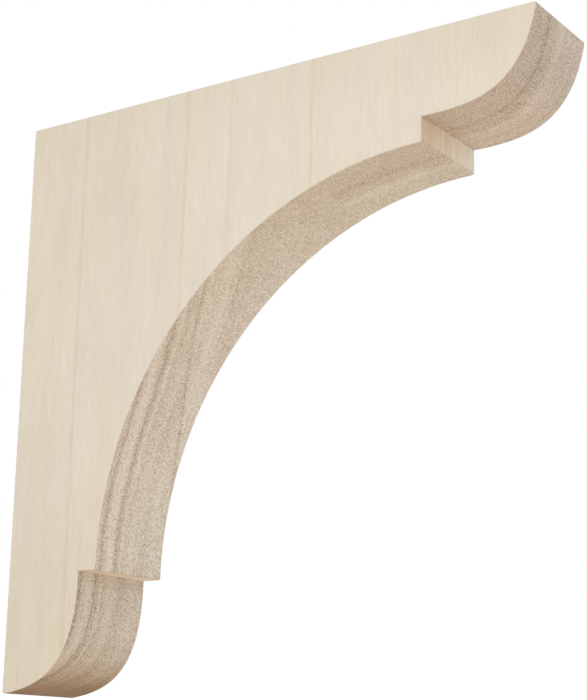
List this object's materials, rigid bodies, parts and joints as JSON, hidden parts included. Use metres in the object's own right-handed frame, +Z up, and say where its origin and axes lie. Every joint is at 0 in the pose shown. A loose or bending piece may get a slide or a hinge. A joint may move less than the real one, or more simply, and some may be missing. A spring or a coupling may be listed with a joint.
{
  "type": "corbel bracket",
  "caption": "Wooden corbel bracket with a coved inner edge between stepped, rounded ends, fixed to a wall to carry a shelf, mantel or beam.",
  "frame": {"origin": "middle of the wall face", "axes": "+X out from the wall along the shelf face, +Z up, +Y through the thickness, away from the side that the picture shows"},
  "size_m": [0.2538, 0.044, 0.2539],
  "materials": {
    "bare_wood": "pale unfinished close-grained wood, planed and sanded, matte"
  },
  "bodies": {
    "root": {"corbel_bracket": "bare_wood"}
  },
  "joints": []
}
